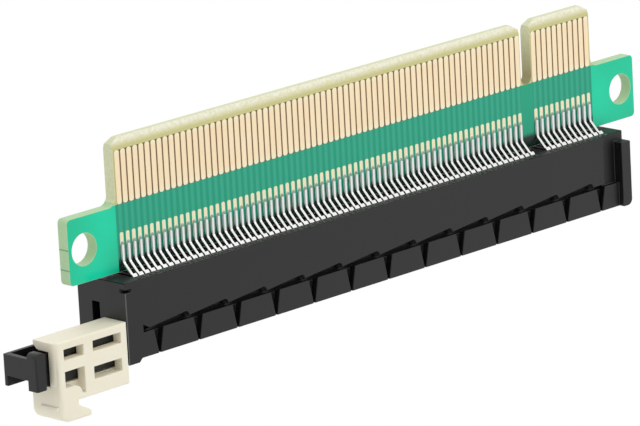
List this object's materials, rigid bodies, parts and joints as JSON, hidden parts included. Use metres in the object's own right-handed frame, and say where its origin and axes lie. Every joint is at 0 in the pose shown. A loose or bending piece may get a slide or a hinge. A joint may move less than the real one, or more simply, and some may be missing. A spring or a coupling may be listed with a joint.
{
  "type": "pcie riser card",
  "caption": "Straight riser card: a keyed edge tongue with gold fingers above, a long black card slot soldered across its lower edge, screw ears and a sliding end latch.",
  "frame": {"origin": "midway between the two screw holes in the ears, in the board's mid-plane", "axes": "+X along the board towards pin 1, +Z towards the free edge of the tongue, +Y out of the back face along the screws"},
  "size_m": [0.1094, 0.0098, 0.0316],
  "materials": {
    "board": "green solder mask",
    "gold": "gold plate",
    "contact": "tinned spring metal",
    "black_plastic": "moulded, satin",
    "cream_plastic": "moulded, satin"
  },
  "bodies": {
    "card": {"circuit_board": "board", "fingers_front_01_11": "gold", "fingers_front_12_82": "gold", "pads_front_01_11": "gold", "pads_front_12_82": "gold", "contacts_front_01_11": "contact", "contacts_front_12_18": "contact", "contacts_front_19_32": "contact", "contacts_front_33_49": "contact", "contacts_front_50_82": "contact", "fingers_back_01_11": "gold", "fingers_back_12_82": "gold", "pads_back_01_11": "gold", "pads_back_12_82": "gold", "contacts_back_01_11": "contact", "contacts_back_12_18": "contact", "contacts_back_19_32": "contact", "contacts_back_33_49": "contact", "contacts_back_50_82": "contact", "slot_housing": "black_plastic"},
    "latch": {"slot_latch": "cream_plastic"}
  },
  "joints": [
    {"name": "latch_slide", "type": "slide", "parent": "card", "child": "latch", "axis": [0, -1, 0], "range_m": [0, 0.0015]}
  ]
}
